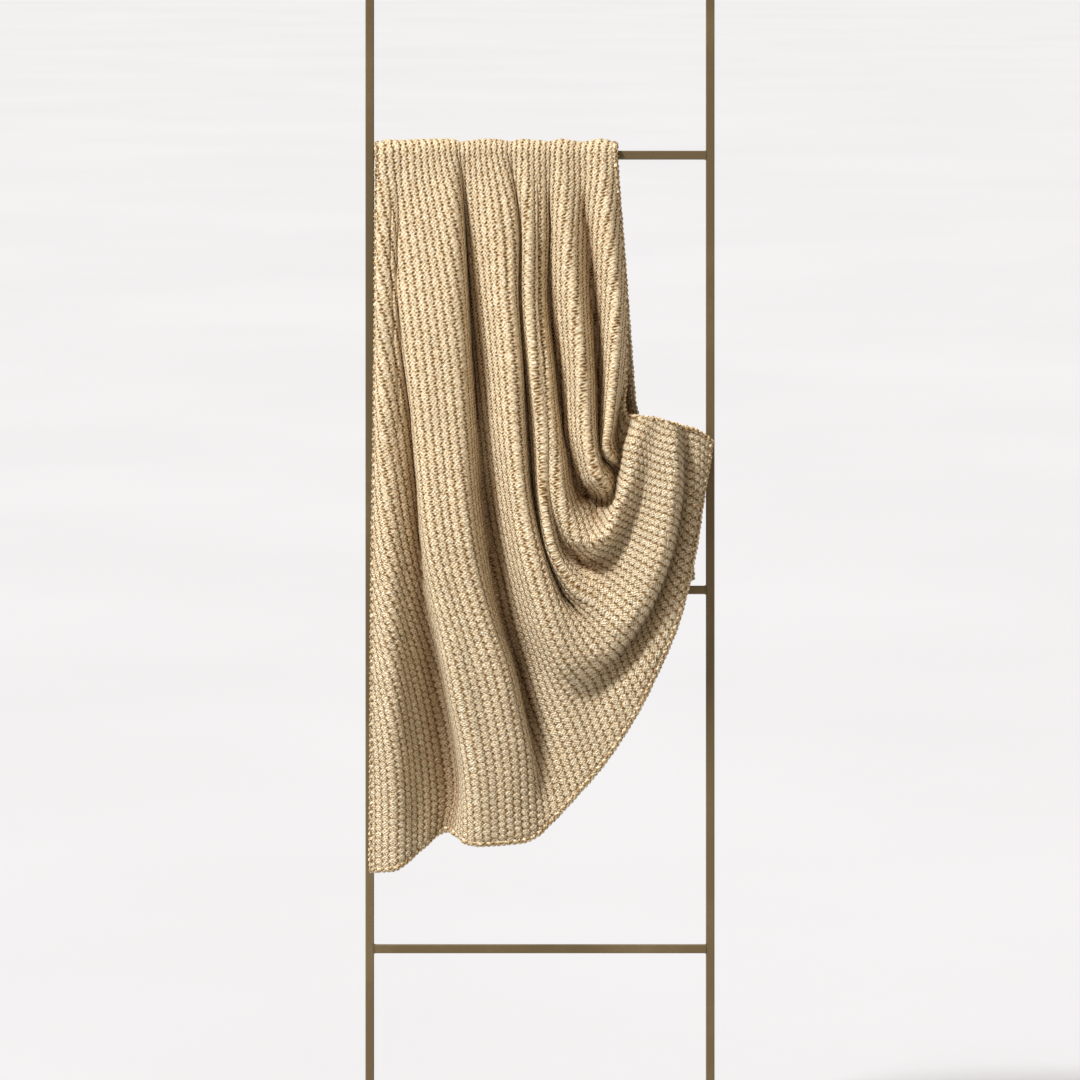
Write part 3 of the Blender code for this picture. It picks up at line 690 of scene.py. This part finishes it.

# %% [markdown]
# ## Shared effect: from stitch address to yarn
# Close up, a wale is not smooth.  The yarn crosses over itself in short strands that lean left
# and right by turns, with a gap in the groove at every stitch, three to a knot, where the material
# paints shade.  Where nothing pulls at the knit the gaps join up into a soft outline round each knot.
# The group reads the stitch address, lets it wander a little as hand tension does, and finds
# the same grooves as the raised mesh has.  It is built in short steps: the knot that a point
# belongs to, the strands that lie over it, and the grooves round it.

# %% The knot that a point belongs to
def nearest_knot(tree, wale_at, knot_at, number):
    """Squared distance to the nearest knot of one wale, and the offsets to it."""
    half = calculate(tree, "MULTIPLY", calculate(tree, "FLOORED_MODULO", number, 2.0), 0.5)
    shifted = calculate(tree, "SUBTRACT", knot_at, half)
    along = calculate(tree, "SUBTRACT", shifted, calculate(tree, "ROUND", shifted))
    across = calculate(tree, "SUBTRACT", wale_at, number)
    squared = calculate(tree, "MULTIPLY_ADD", calculate(tree, "MULTIPLY", across, across),
                        SIDEWAYS_WEIGHT, calculate(tree, "MULTIPLY", along, along))
    return squared, across, along, number

def own_knot(tree, wale_at, knot_at):
    """Left wale's offsets, distance from the groove, and offsets and number of the own wale."""
    left_wale = calculate(tree, "FLOOR", wale_at)
    left = nearest_knot(tree, wale_at, knot_at, left_wale)
    right = nearest_knot(tree, wale_at, knot_at, calculate(tree, "ADD", left_wale, 1.0))
    is_left = calculate(tree, "LESS_THAN", left[0], right[0])
    from_groove = calculate(tree, "ABSOLUTE", calculate(tree, "SUBTRACT", left[0], right[0]))
    own = []
    for on_left, on_right in zip(left[1:], right[1:]):
        gap = calculate(tree, "SUBTRACT", on_left, on_right)
        own.append(calculate(tree, "MULTIPLY_ADD", is_left, gap, on_right))
    return left, from_groove, *own

# %% Waves, noise and chance
def wave(tree, *terms, label=None):
    """Sine of 2 pi times the sum of value times cycles."""
    total = 0.0
    for value, cycles in terms:
        total = calculate(tree, "MULTIPLY_ADD", value, cycles, total)
    return calculate(tree, "SINE", calculate(tree, "MULTIPLY", total, 2 * pi), label=label)

def noise_over(tree, vector, scale, detail, label):
    noise = add_node(tree, "ShaderNodeTexNoise", label)
    feed(tree, noise.inputs["Vector"], vector)
    noise.inputs["Scale"].default_value = scale
    noise.inputs["Detail"].default_value = detail
    return noise.outputs

def chance(tree, across, along):
    """Random number that is the same all over one cell of the knit."""
    cell = add_node(tree, "ShaderNodeCombineXYZ")
    feed(tree, cell.inputs[0], across)
    feed(tree, cell.inputs[1], along)
    white = add_node(tree, "ShaderNodeTexWhiteNoise", noise_dimensions="2D")
    feed(tree, white.inputs["Vector"], cell.outputs[0])
    return white.outputs["Value"]

def wandering(tree, stitch, wander):
    """Stitch address moved about a little, so that no row is straight as a ruler."""
    stray = noise_over(tree, stitch, 2.1, 1.0, "stray stitches")
    centred = add_node(tree, "ShaderNodeVectorMath", operation="SUBTRACT")
    feed(tree, centred.inputs[0], stray["Color"])
    centred.inputs[1].default_value = (0.5, 0.5, 0.5)
    moved = add_node(tree, "ShaderNodeVectorMath", operation="MULTIPLY_ADD")
    for socket, source in zip(moved.inputs, (centred.outputs[0], wander, stitch)):
        feed(tree, socket, source)
    return moved.outputs[0]

# %% Strands over a knot
STRANDS_DOWN, STRANDS_ACROSS = 0.8, 1.9

def lay_strands(tree, takes, address, wale_at, knot_at, across, along, number):
    """Height of the strands, above and below 0: two leaning waves, loose yarn and chance."""
    stitches, relaxed = takes["Stitches a Knot"], takes["Relaxed"]
    stitch_at = calculate(tree, "MULTIPLY", along, stitches)
    mirror = calculate(tree, "FLOORED_MODULO", number, 2.0)
    mirror = calculate(tree, "MULTIPLY_ADD", mirror, 2.0, -1.0)
    slanted = calculate(tree, "MULTIPLY", across, mirror)
    lean = wave(tree, (stitch_at, STRANDS_DOWN), (slanted, STRANDS_ACROSS), label="leaning strands")
    cross = wave(tree, (stitch_at, STRANDS_DOWN), (slanted, -STRANDS_ACROSS), label="crossing strands")
    depth = calculate(tree, "MULTIPLY_ADD", relaxed, 0.34, 0.36)
    strands = calculate(tree, "MULTIPLY", calculate(tree, "MULTIPLY_ADD", cross, 0.85, lean), depth)
    grain = noise_over(tree, address, 5.0, 1.5, "loose strands")
    grain = calculate(tree, "SUBTRACT", grain["Fac"], 0.5)
    looseness = calculate(tree, "MULTIPLY_ADD", relaxed, 4.8, 2.8)
    strands = calculate(tree, "MULTIPLY_ADD", grain, looseness, strands)
    third = calculate(tree, "FLOOR", calculate(tree, "MULTIPLY", wale_at, 3.0))
    stitch = calculate(tree, "FLOOR", calculate(tree, "MULTIPLY", knot_at, stitches))
    strands = calculate(tree, "SUBTRACT", strands, 0.3)
    return calculate(tree, "MULTIPLY_ADD", chance(tree, third, stitch), 0.6, strands)

# %% Grooves round a knot
def open_grooves(tree, takes, from_groove, left, along, gaps):
    """Mask of the grooves: dots where the knit is pulled, an outline where it is relaxed."""
    relaxed = takes["Relaxed"]
    share = calculate(tree, "DIVIDE", from_groove, takes["Groove Width"])
    groove = calculate(tree, "SUBTRACT", 1.0, share, label="groove")
    groove = ramp_between(tree, groove, 0.0, 1.0)
    left_stitch = calculate(tree, "MULTIPLY", left[2], takes["Stitches a Knot"])
    tight = wave(tree, (left_stitch, 1.0), (left[1], 0.4), label="tight gaps")
    loose = wave(tree, (left[2], 1.0), (left[1], 0.6), label="loose gaps")
    dots = calculate(tree, "MULTIPLY_ADD", relaxed, calculate(tree, "SUBTRACT", loose, tight), tight)
    dots = ramp_between(tree, dots, -0.55, 0.35)
    outline = calculate(tree, "MULTIPLY_ADD", relaxed, 0.28, 0.15)
    rest = calculate(tree, "SUBTRACT", 1.0, outline)
    groove = calculate(tree, "MULTIPLY", groove, calculate(tree, "MULTIPLY_ADD", dots, rest, outline))
    knot_end = ramp_between(tree, calculate(tree, "ABSOLUTE", along), 0.34, 0.50, "knot ends")
    knot_end = calculate(tree, "MULTIPLY", knot_end, relaxed)
    knot_end = calculate(tree, "MULTIPLY", knot_end, calculate(tree, "MULTIPLY_ADD", gaps, 0.6, 0.15))
    return calculate(tree, "MAXIMUM", groove, knot_end)

# %% Knotted yarn group
def make_yarn_group():
    decimal = "NodeSocketFloat"
    tree, takes, gives = new_group(
        "knotted yarn",
        [("Stitch", "NodeSocketVector"), ("Stitches a Knot", decimal, 3.0),
         ("Groove Width", decimal, 0.58), ("Relaxed", decimal, 0.5), ("Wander", decimal, 0.30)],
        [("Height", decimal), ("Groove", decimal), ("Strand Gap", decimal), ("Crown", decimal),
         ("Knot Tone", decimal)])
    address = wandering(tree, takes["Stitch"], takes["Wander"])
    split = add_node(tree, "ShaderNodeSeparateXYZ")
    feed(tree, split.inputs[0], address)
    wale_at, knot_at = split.outputs[0], split.outputs[1]
    left, from_groove, across, along, number = own_knot(tree, wale_at, knot_at)
    strands = lay_strands(tree, takes, address, wale_at, knot_at, across, along, number)
    gaps = ramp_between(tree, strands, 0.00, -1.00)
    groove = open_grooves(tree, takes, from_groove, left, along, gaps)
    height = calculate(tree, "MULTIPLY_ADD", strands, 0.26, 0.5)
    row = calculate(tree, "ROUND", calculate(tree, "SUBTRACT", knot_at, along))
    feed(tree, gives["Height"], calculate(tree, "MULTIPLY_ADD", groove, -0.6, height))
    feed(tree, gives["Groove"], groove)
    feed(tree, gives["Strand Gap"], gaps)
    feed(tree, gives["Crown"], ramp_between(tree, strands, 0.15, 1.10))
    feed(tree, gives["Knot Tone"], chance(tree, number, row))
    return tree

knotted_yarn = make_yarn_group()
print("made group", knotted_yarn.name, "with", len(knotted_yarn.nodes), "nodes")

# %% [markdown]
# ## The yarn material
# The yarn is undyed cotton, a warm oatmeal; painted shade turns it brown where light can't reach.
# It is matt with a faint bloom from loose fibres.  The grooves get painted shade that raises the
# colour to a power, darker and warmer, before it turns brown, and the strand crowns get a painted
# highlight.  The relaxed lower cloth is painted a little brighter.  The strands and fibres also go into the
# bump.

# %% Yarn colours
# Painted highlight on the strand crowns
YARN_HIGHLIGHT = (1.000, 0.945, 0.760, 1.0)
YARN_LIGHT = (0.820, 0.670, 0.435, 1.0)
# Painted shade between strands
YARN_SHADE = (0.420, 0.260, 0.115, 1.0)
# Painted shade in the grooves and stitch gaps
YARN_GROOVE_SHADE = (0.125, 0.052, 0.018, 1.0)
# Painted shade colour, multiplied in deep between folds
FOLD_SHADE_TINT = (0.460, 0.330, 0.225, 1.0)

def strand_colour(tree, yarn, tone, relaxed, gap_shade_strength):
    """Painted highlight on the crowns, and painted shade in the gaps between strands, deeper where the knit
    is pulled.
    """
    crown = calculate(tree, "MULTIPLY", yarn["Crown"], 0.9)
    colour = blend_colours(tree, crown, YARN_LIGHT, YARN_HIGHLIGHT, "strand crowns")
    shaded = calculate(tree, "MULTIPLY_ADD", relaxed, -0.50, 1.12)
    shaded = calculate(tree, "MULTIPLY", shaded, gap_shade_strength)
    shaded = calculate(tree, "MULTIPLY", yarn["Strand Gap"], shaded)
    shaded = calculate(tree, "MULTIPLY_ADD", tone["Speck"], 0.25, shaded)
    return blend_colours(tree, shaded, colour, YARN_SHADE, "between strands")

def paint_groove_shade(tree, colour, groove, relaxed, groove_shade_strength):
    """Painted shade in the grooves: warmer, then brown, as the groove mask deepens."""
    deep = calculate(tree, "MULTIPLY", groove, groove_shade_strength)
    deep = calculate(tree, "MULTIPLY", deep, calculate(tree, "MULTIPLY_ADD", relaxed, -0.14, 1.0))
    warmer = add_node(tree, "ShaderNodeGamma", "warmer in the grooves")
    feed(tree, warmer.inputs["Color"], colour)
    feed(tree, warmer.inputs["Gamma"], calculate(tree, "MULTIPLY_ADD", deep, 1.2, 1.0))
    brown = calculate(tree, "MULTIPLY", deep, 0.85)
    return blend_colours(tree, brown, warmer.outputs[0], YARN_GROOVE_SHADE, "stitch gaps")

def uneven_yarn(tree, colour, yarn, tone, relaxed):
    """Knots that differ a little in tone, in cloth that drifts a little, and painted light that makes the
    relaxed lower cloth a little brighter.
    """
    # Painted light: the relaxed lower cloth is made a little brighter
    tone_and_painted_light = calculate(tree, "MULTIPLY_ADD", relaxed, 0.08, 0.85)
    tone_and_painted_light = calculate(tree, "MULTIPLY_ADD", tone["Tone"], 0.12, tone_and_painted_light)
    tone_and_painted_light = calculate(tree, "MULTIPLY_ADD", yarn["Knot Tone"], 0.10, tone_and_painted_light)
    return blend_colours(tree, 1.0, colour, tone_and_painted_light, "yarn to yarn", way="MULTIPLY")

def paint_fold_shade(tree, colour):
    """Painted shade: browner and darker where the cloth lies deep between folds."""
    painted_fold_shade = add_node(tree, "ShaderNodeAttribute", "painted_fold_shade", attribute_name="painted_fold_shade")
    amount = calculate(tree, "MULTIPLY", painted_fold_shade.outputs["Fac"], 0.60)
    browner = blend_colours(tree, 1.0, colour, FOLD_SHADE_TINT, way="MULTIPLY")
    return blend_colours(tree, amount, colour, browner, "browner in the folds")

# %% Yarn
def start_material(name, roughness):
    material = bpy.data.materials.new(name)
    material.use_nodes = True
    tree = material.node_tree
    shader = tree.nodes["Principled BSDF"]
    shader.inputs["Roughness"].default_value = roughness
    return material, tree, shader

def yarn_inputs(tree, stitches):
    """The two shared effects on the cloth's maps, and how relaxed the knit is at a point."""
    address = add_node(tree, "ShaderNodeUVMap", uv_map="stitches")
    place = add_node(tree, "ShaderNodeTexCoord")
    lengthways = add_node(tree, "ShaderNodeSeparateXYZ")
    feed(tree, lengthways.inputs[0], add_node(tree, "ShaderNodeUVMap", uv_map="sheet").outputs[0])
    first, last = 3.0 / LAST_STATION, 9.0 / LAST_STATION
    relaxed = ramp_between(tree, lengthways.outputs[1], first, last, "relaxed")
    wander = calculate(tree, "MULTIPLY_ADD", relaxed, 0.16, 0.10)
    yarn = use_group(tree, knotted_yarn, Stitch=address.outputs[0], Stitches_a_Knot=stitches,
                     Relaxed=relaxed, Wander=wander)
    tone = use_group(tree, uneven_colour, Vector=place.outputs["Object"], Patch_Size=0.09,
                     Speck_Size=0.0022, Speck_Share=0.55)
    return yarn.outputs, tone.outputs, relaxed

def yarn_material(name, groove_shade_strength=1.0, gap_shade_strength=0.85, bump_mm=2.4, stitches=3.0):
    material, tree, shader = start_material(name, 0.92)
    shader.inputs["Sheen Weight"].default_value = 0.05
    shader.inputs["Sheen Tint"].default_value = (1.0, 0.86, 0.66, 1.0)
    shader.inputs["Sheen Roughness"].default_value = 0.6
    shader.inputs["Specular IOR Level"].default_value = 0.05
    yarn, tone, relaxed = yarn_inputs(tree, stitches)
    colour = strand_colour(tree, yarn, tone, relaxed, gap_shade_strength)
    colour = paint_groove_shade(tree, colour, yarn["Groove"], relaxed, groove_shade_strength)
    colour = uneven_yarn(tree, colour, yarn, tone, relaxed)
    feed(tree, shader.inputs["Base Color"], paint_fold_shade(tree, colour))
    bump = add_node(tree, "ShaderNodeBump")
    bump.inputs["Strength"].default_value = 1.0
    bump.inputs["Distance"].default_value = bump_mm * MM
    fibres = calculate(tree, "MULTIPLY_ADD", tone["Speck"], 0.20, yarn["Height"])
    feed(tree, bump.inputs["Height"], fibres)
    feed(tree, shader.inputs["Normal"], bump.outputs[0])
    return material

yarn = yarn_material("oatmeal yarn")
yarn_edge = yarn_material("rolled edge yarn", groove_shade_strength=0.9, gap_shade_strength=1.0, bump_mm=2.0, stitches=2.0)
print("made materials", yarn.name, "and", yarn_edge.name)

# %% [markdown]
# ## The throw
# The wrong side of the sheet is one mesh from hem to hem, on a coarser grid.  The bands of the
# face and the rolled edge are made as separate meshes.

# %% Throw pieces
FACE_BANDS = [
    # name, first row, last row
    ("back_fall", 0, BACK_ROWS), ("over_the_rung", BACK_ROWS, TOP_ROW + 120),
    ("upper_front", TOP_ROW + 120, TOP_ROW + 360), ("lower_front", TOP_ROW + 360, TOP_ROW + FRONT_ROWS),
]
wrong = add_band("wrong_side", wrong_side, 0, sheet.shape[1] - 1, yarn, flip=True, step=3)
bands = [add_band(name, face_side, first, last, yarn) for name, first, last in FACE_BANDS]
for piece in [wrong] + bands:
    print(piece.name, len(piece.data.polygons) * 2, "triangles")

# %% [markdown]
# ## The rolled edge
# A knitted edge curls into a soft cord.  It could be a bevelled curve, but the cord has to
# follow the cloth's own facing, or it would twist in the folds.  So rings are placed round
# the border point by point, from the cloth's out and sideways directions, and they swell a
# little at every stitch.

# %% Border of the sheet
EDGE_RADIUS, EDGE_STITCH, EDGE_TWIST, EDGE_DRIFT = 0.0042, 0.0125, 0.0073, 0.0310

def border_walk():
    """Indices of the sheet's border, once round."""
    columns, rows = sheet.shape[:2]
    down_left = [(0, r) for r in range(rows - 1)]
    along_hem = [(c, rows - 1) for c in range(columns - 1)]
    up_right = [(columns - 1, r) for r in range(rows - 1, 0, -1)]
    along_back = [(c, 0) for c in range(columns - 1, 0, -1)]
    return np.array(down_left + along_hem + up_right + along_back)

# %% Rolled edge
def rolled_edge(radius, ring=12):
    walk = border_walk()
    at = sheet[walk[:, 0], walk[:, 1]]
    face = out_of_cloth[walk[:, 0], walk[:, 1]]
    ahead = unit(np.roll(at, -3, 0) - np.roll(at, 3, 0))
    outward = unit(np.cross(face, ahead))
    inside = np.clip(walk, 4, np.array(sheet.shape[:2]) - 5)
    toward_cloth = sheet[inside[:, 0], inside[:, 1]] - at
    outward *= np.where((outward * toward_cloth).sum(-1, keepdims=True) > 0, -1, 1)
    travelled = np.concatenate([[0.0], np.cumsum(np.linalg.norm(np.diff(at, axis=0), axis=1))])
    swell = 1 + 0.20 * np.cos(travelled / EDGE_TWIST * 2 * pi)
    swell += 0.06 * np.cos(travelled / EDGE_DRIFT * 2 * pi)
    turn = np.linspace(0, 2 * pi, ring, endpoint=False)
    size = (radius * swell)[:, None, None]
    sideways = outward[:, None] * np.cos(turn)[None, :, None]
    upward = face[:, None] * 1.05 * np.sin(turn)[None, :, None]
    return (at - outward * radius * 0.35)[:, None] + size * (sideways + upward), travelled

def closed_tube_faces(rings, ring):
    start = np.arange(rings)[:, None] * ring + np.arange(ring)
    after = np.roll(start, -1, 0)
    faces = np.stack([start, np.roll(start, -1, 1), np.roll(after, -1, 1), after], -1)
    return faces.reshape(-1, 4)

edge_points, travelled = rolled_edge(EDGE_RADIUS)
rings, ring = edge_points.shape[:2]
edge = add_piece("rolled_edge", edge_points, closed_tube_faces(rings, ring), yarn_edge)
add_map(edge.data, "stitches", np.tile(np.arange(ring) / ring * 2, (rings, 1)),
        np.repeat(travelled[:, None] / EDGE_STITCH, ring, 1))
add_map(edge.data, "sheet", np.zeros((rings, ring)), np.ones((rings, ring)))
print("rolled edge", round(float(travelled[-1]), 3), "m round,", len(edge.data.polygons) * 2, "triangles")

for piece in [wrong, edge] + bands:
    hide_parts("blanket")

# %% [markdown]
# ## The ladder's paint
# The tubes are steel under a satin bronze-brown paint.  Sprayed paint is never glass smooth:
# it has a fine orange-peel skin, slow changes of tone, and it wears paler in scattered
# patches.  The tubes keep their solid's own shape and only get this finish.

# %% Bronze paint
PAINT_BODY = (0.150, 0.107, 0.048, 1.0)
PAINT_WORN = (0.260, 0.200, 0.105, 1.0)

def paint_material(name):
    material, tree, shader = start_material(name, 0.42)
    shader.inputs["Metallic"].default_value = 0.25
    place = add_node(tree, "ShaderNodeTexCoord")
    tone = use_group(tree, uneven_colour, Vector=place.outputs["Object"], Patch_Size=0.16,
                     Speck_Size=0.0016, Speck_Share=0.3)
    worn = calculate(tree, "MULTIPLY", ramp_between(tree, tone.outputs["Tone"], 0.45, 0.9), 0.35)
    feed(tree, shader.inputs["Base Color"], blend_colours(tree, worn, PAINT_BODY, PAINT_WORN, "worn paint"))
    feed(tree, shader.inputs["Roughness"], calculate(tree, "MULTIPLY_ADD", tone.outputs["Speck"], 0.12, 0.38))
    bump = add_node(tree, "ShaderNodeBump")
    bump.inputs["Strength"].default_value = 0.35
    bump.inputs["Distance"].default_value = 0.15 * MM
    feed(tree, bump.inputs["Height"], tone.outputs["Speck"])
    feed(tree, shader.inputs["Normal"], bump.outputs[0])
    return material

paint = paint_material("bronze paint")
TUBES = ["upright_left", "upright_right", "rung_1", "rung_2", "rung_3", "rung_4"]
for name in TUBES:
    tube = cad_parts[name]
    tube.data.materials.clear()
    tube.data.materials.append(paint)
print("painted", len(TUBES), "tubes")

# %% [markdown]
# ## Weld seams
# Each rung is welded to both uprights, and the weld is ground nearly flush before painting.
# What is left is a soft bead round the joint.  A thin rounded loop, slightly uneven, is
# enough, and it sits where the rung's solid ends.

# %% Weld beads
WELD_HALF_WIDTH, WELD_RADIUS, WELD_SINK = 0.00605, 0.00075, 0.0004

def weld_loops(corners=48, ring=8):
    points, faces = [], []
    for name in TUBES[2:]:
        low, high = (Vector(corner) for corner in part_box(name))
        centre = (low + high) / 2
        for way in (-1, 1):
            x = low.x if way < 0 else high.x
            for i in range(corners):
                turn = 2 * pi * i / corners
                square = WELD_HALF_WIDTH / max(abs(cos(turn)), abs(sin(turn))) ** 0.86
                out, up = square * cos(turn), square * sin(turn)
                size = WELD_RADIUS * (1 + 0.25 * sin(7 * turn + x * 90) + 0.15 * sin(19 * turn))
                for k in range(ring):
                    swing = 2 * pi * k / ring
                    reach = 1 + size * cos(swing) / square
                    plane = lean_back([x + size * sin(swing) - way * WELD_SINK, 0, 0])
                    offset = lean_back([0, up * reach, out * reach]) - lean_back([0, 0, 0])
                    points.append([plane[0], centre.y + offset[1], centre.z + offset[2]])
            start = len(points) - corners * ring
            faces.append(closed_tube_faces(corners, ring) + start)
    return np.array(points), np.concatenate(faces)

welds = add_piece("weld_beads", *weld_loops(), material=paint)
print("weld beads", len(welds.data.polygons) * 2, "triangles")

# %% [markdown]
# ## Floor and light
# The set is plain: one wide pale floor, a soft key light high on the left, a weak warm sky
# for fill, and a faint light from the right that lifts the folds' shaded sides.  The plain
# background is seen by the camera alone, so it adds no light of its own.

# %% Floor
def add_floor():
    mesh = bpy.data.meshes.new("floor")
    mesh.from_pydata([(-90, -60, 0), (90, -60, 0), (90, 150, 0), (-90, 150, 0)], [], [(0, 1, 2, 3)])
    floor = bpy.data.objects.new("floor", mesh)
    bpy.context.scene.collection.objects.link(floor)
    material, tree, shader = start_material("pale floor", 0.9)
    place = add_node(tree, "ShaderNodeTexCoord")
    tone = use_group(tree, uneven_colour, Vector=place.outputs["Object"], Patch_Size=2.0,
                     Speck_Size=0.05, Speck_Share=0.1)
    shade = blend_colours(tree, tone.outputs["Tone"], (0.545, 0.552, 0.556, 1), (0.565, 0.572, 0.576, 1))
    feed(tree, shader.inputs["Base Color"], shade)
    mesh.materials.append(material)
    return floor

floor = add_floor()

# %% Lights
def add_sun(name, strength, softness, azimuth, elevation):
    light = bpy.data.lights.new(name, "SUN")
    light.energy, light.angle = strength, radians(softness)
    lamp = bpy.data.objects.new(name, light)
    bpy.context.scene.collection.objects.link(lamp)
    toward = Vector((sin(radians(azimuth)) * cos(radians(elevation)),
                     -cos(radians(azimuth)) * cos(radians(elevation)), sin(radians(elevation))))
    lamp.rotation_euler = (-toward).to_track_quat("-Z", "Y").to_euler()
    return lamp

KEY = dict(strength=5.3, softness=12, azimuth=-60, elevation=56)
RIGHT_FILL = dict(strength=0.10, softness=60, azimuth=60, elevation=25)
FILL_TINT, FILL_STRENGTH, BACKGROUND = (1.0, 0.74, 0.50, 1.0), 0.27, (0.865, 0.865, 0.865, 1.0)

def add_sky():
    """Warm, weak fill for the object, and a plain pale background behind it."""
    world = bpy.data.worlds.new("pale sky")
    world.use_nodes = True
    tree = world.node_tree
    fill = tree.nodes["Background"]
    fill.inputs["Color"].default_value, fill.inputs["Strength"].default_value = FILL_TINT, FILL_STRENGTH
    seen = add_node(tree, "ShaderNodeBackground")
    seen.inputs["Color"].default_value = BACKGROUND
    rays, mix = add_node(tree, "ShaderNodeLightPath"), add_node(tree, "ShaderNodeMixShader")
    for socket, source in zip(mix.inputs, (rays.outputs["Is Camera Ray"], fill.outputs[0], seen.outputs[0])):
        feed(tree, socket, source)
    feed(tree, tree.nodes["World Output"].inputs["Surface"], mix.outputs[0])
    bpy.context.scene.world = world

key = add_sun("key", **KEY)
key.data.color = (0.97, 0.99, 1.03)
add_sun("right_fill", **RIGHT_FILL)
add_sky()
bpy.context.scene.view_settings.view_transform = "Standard"
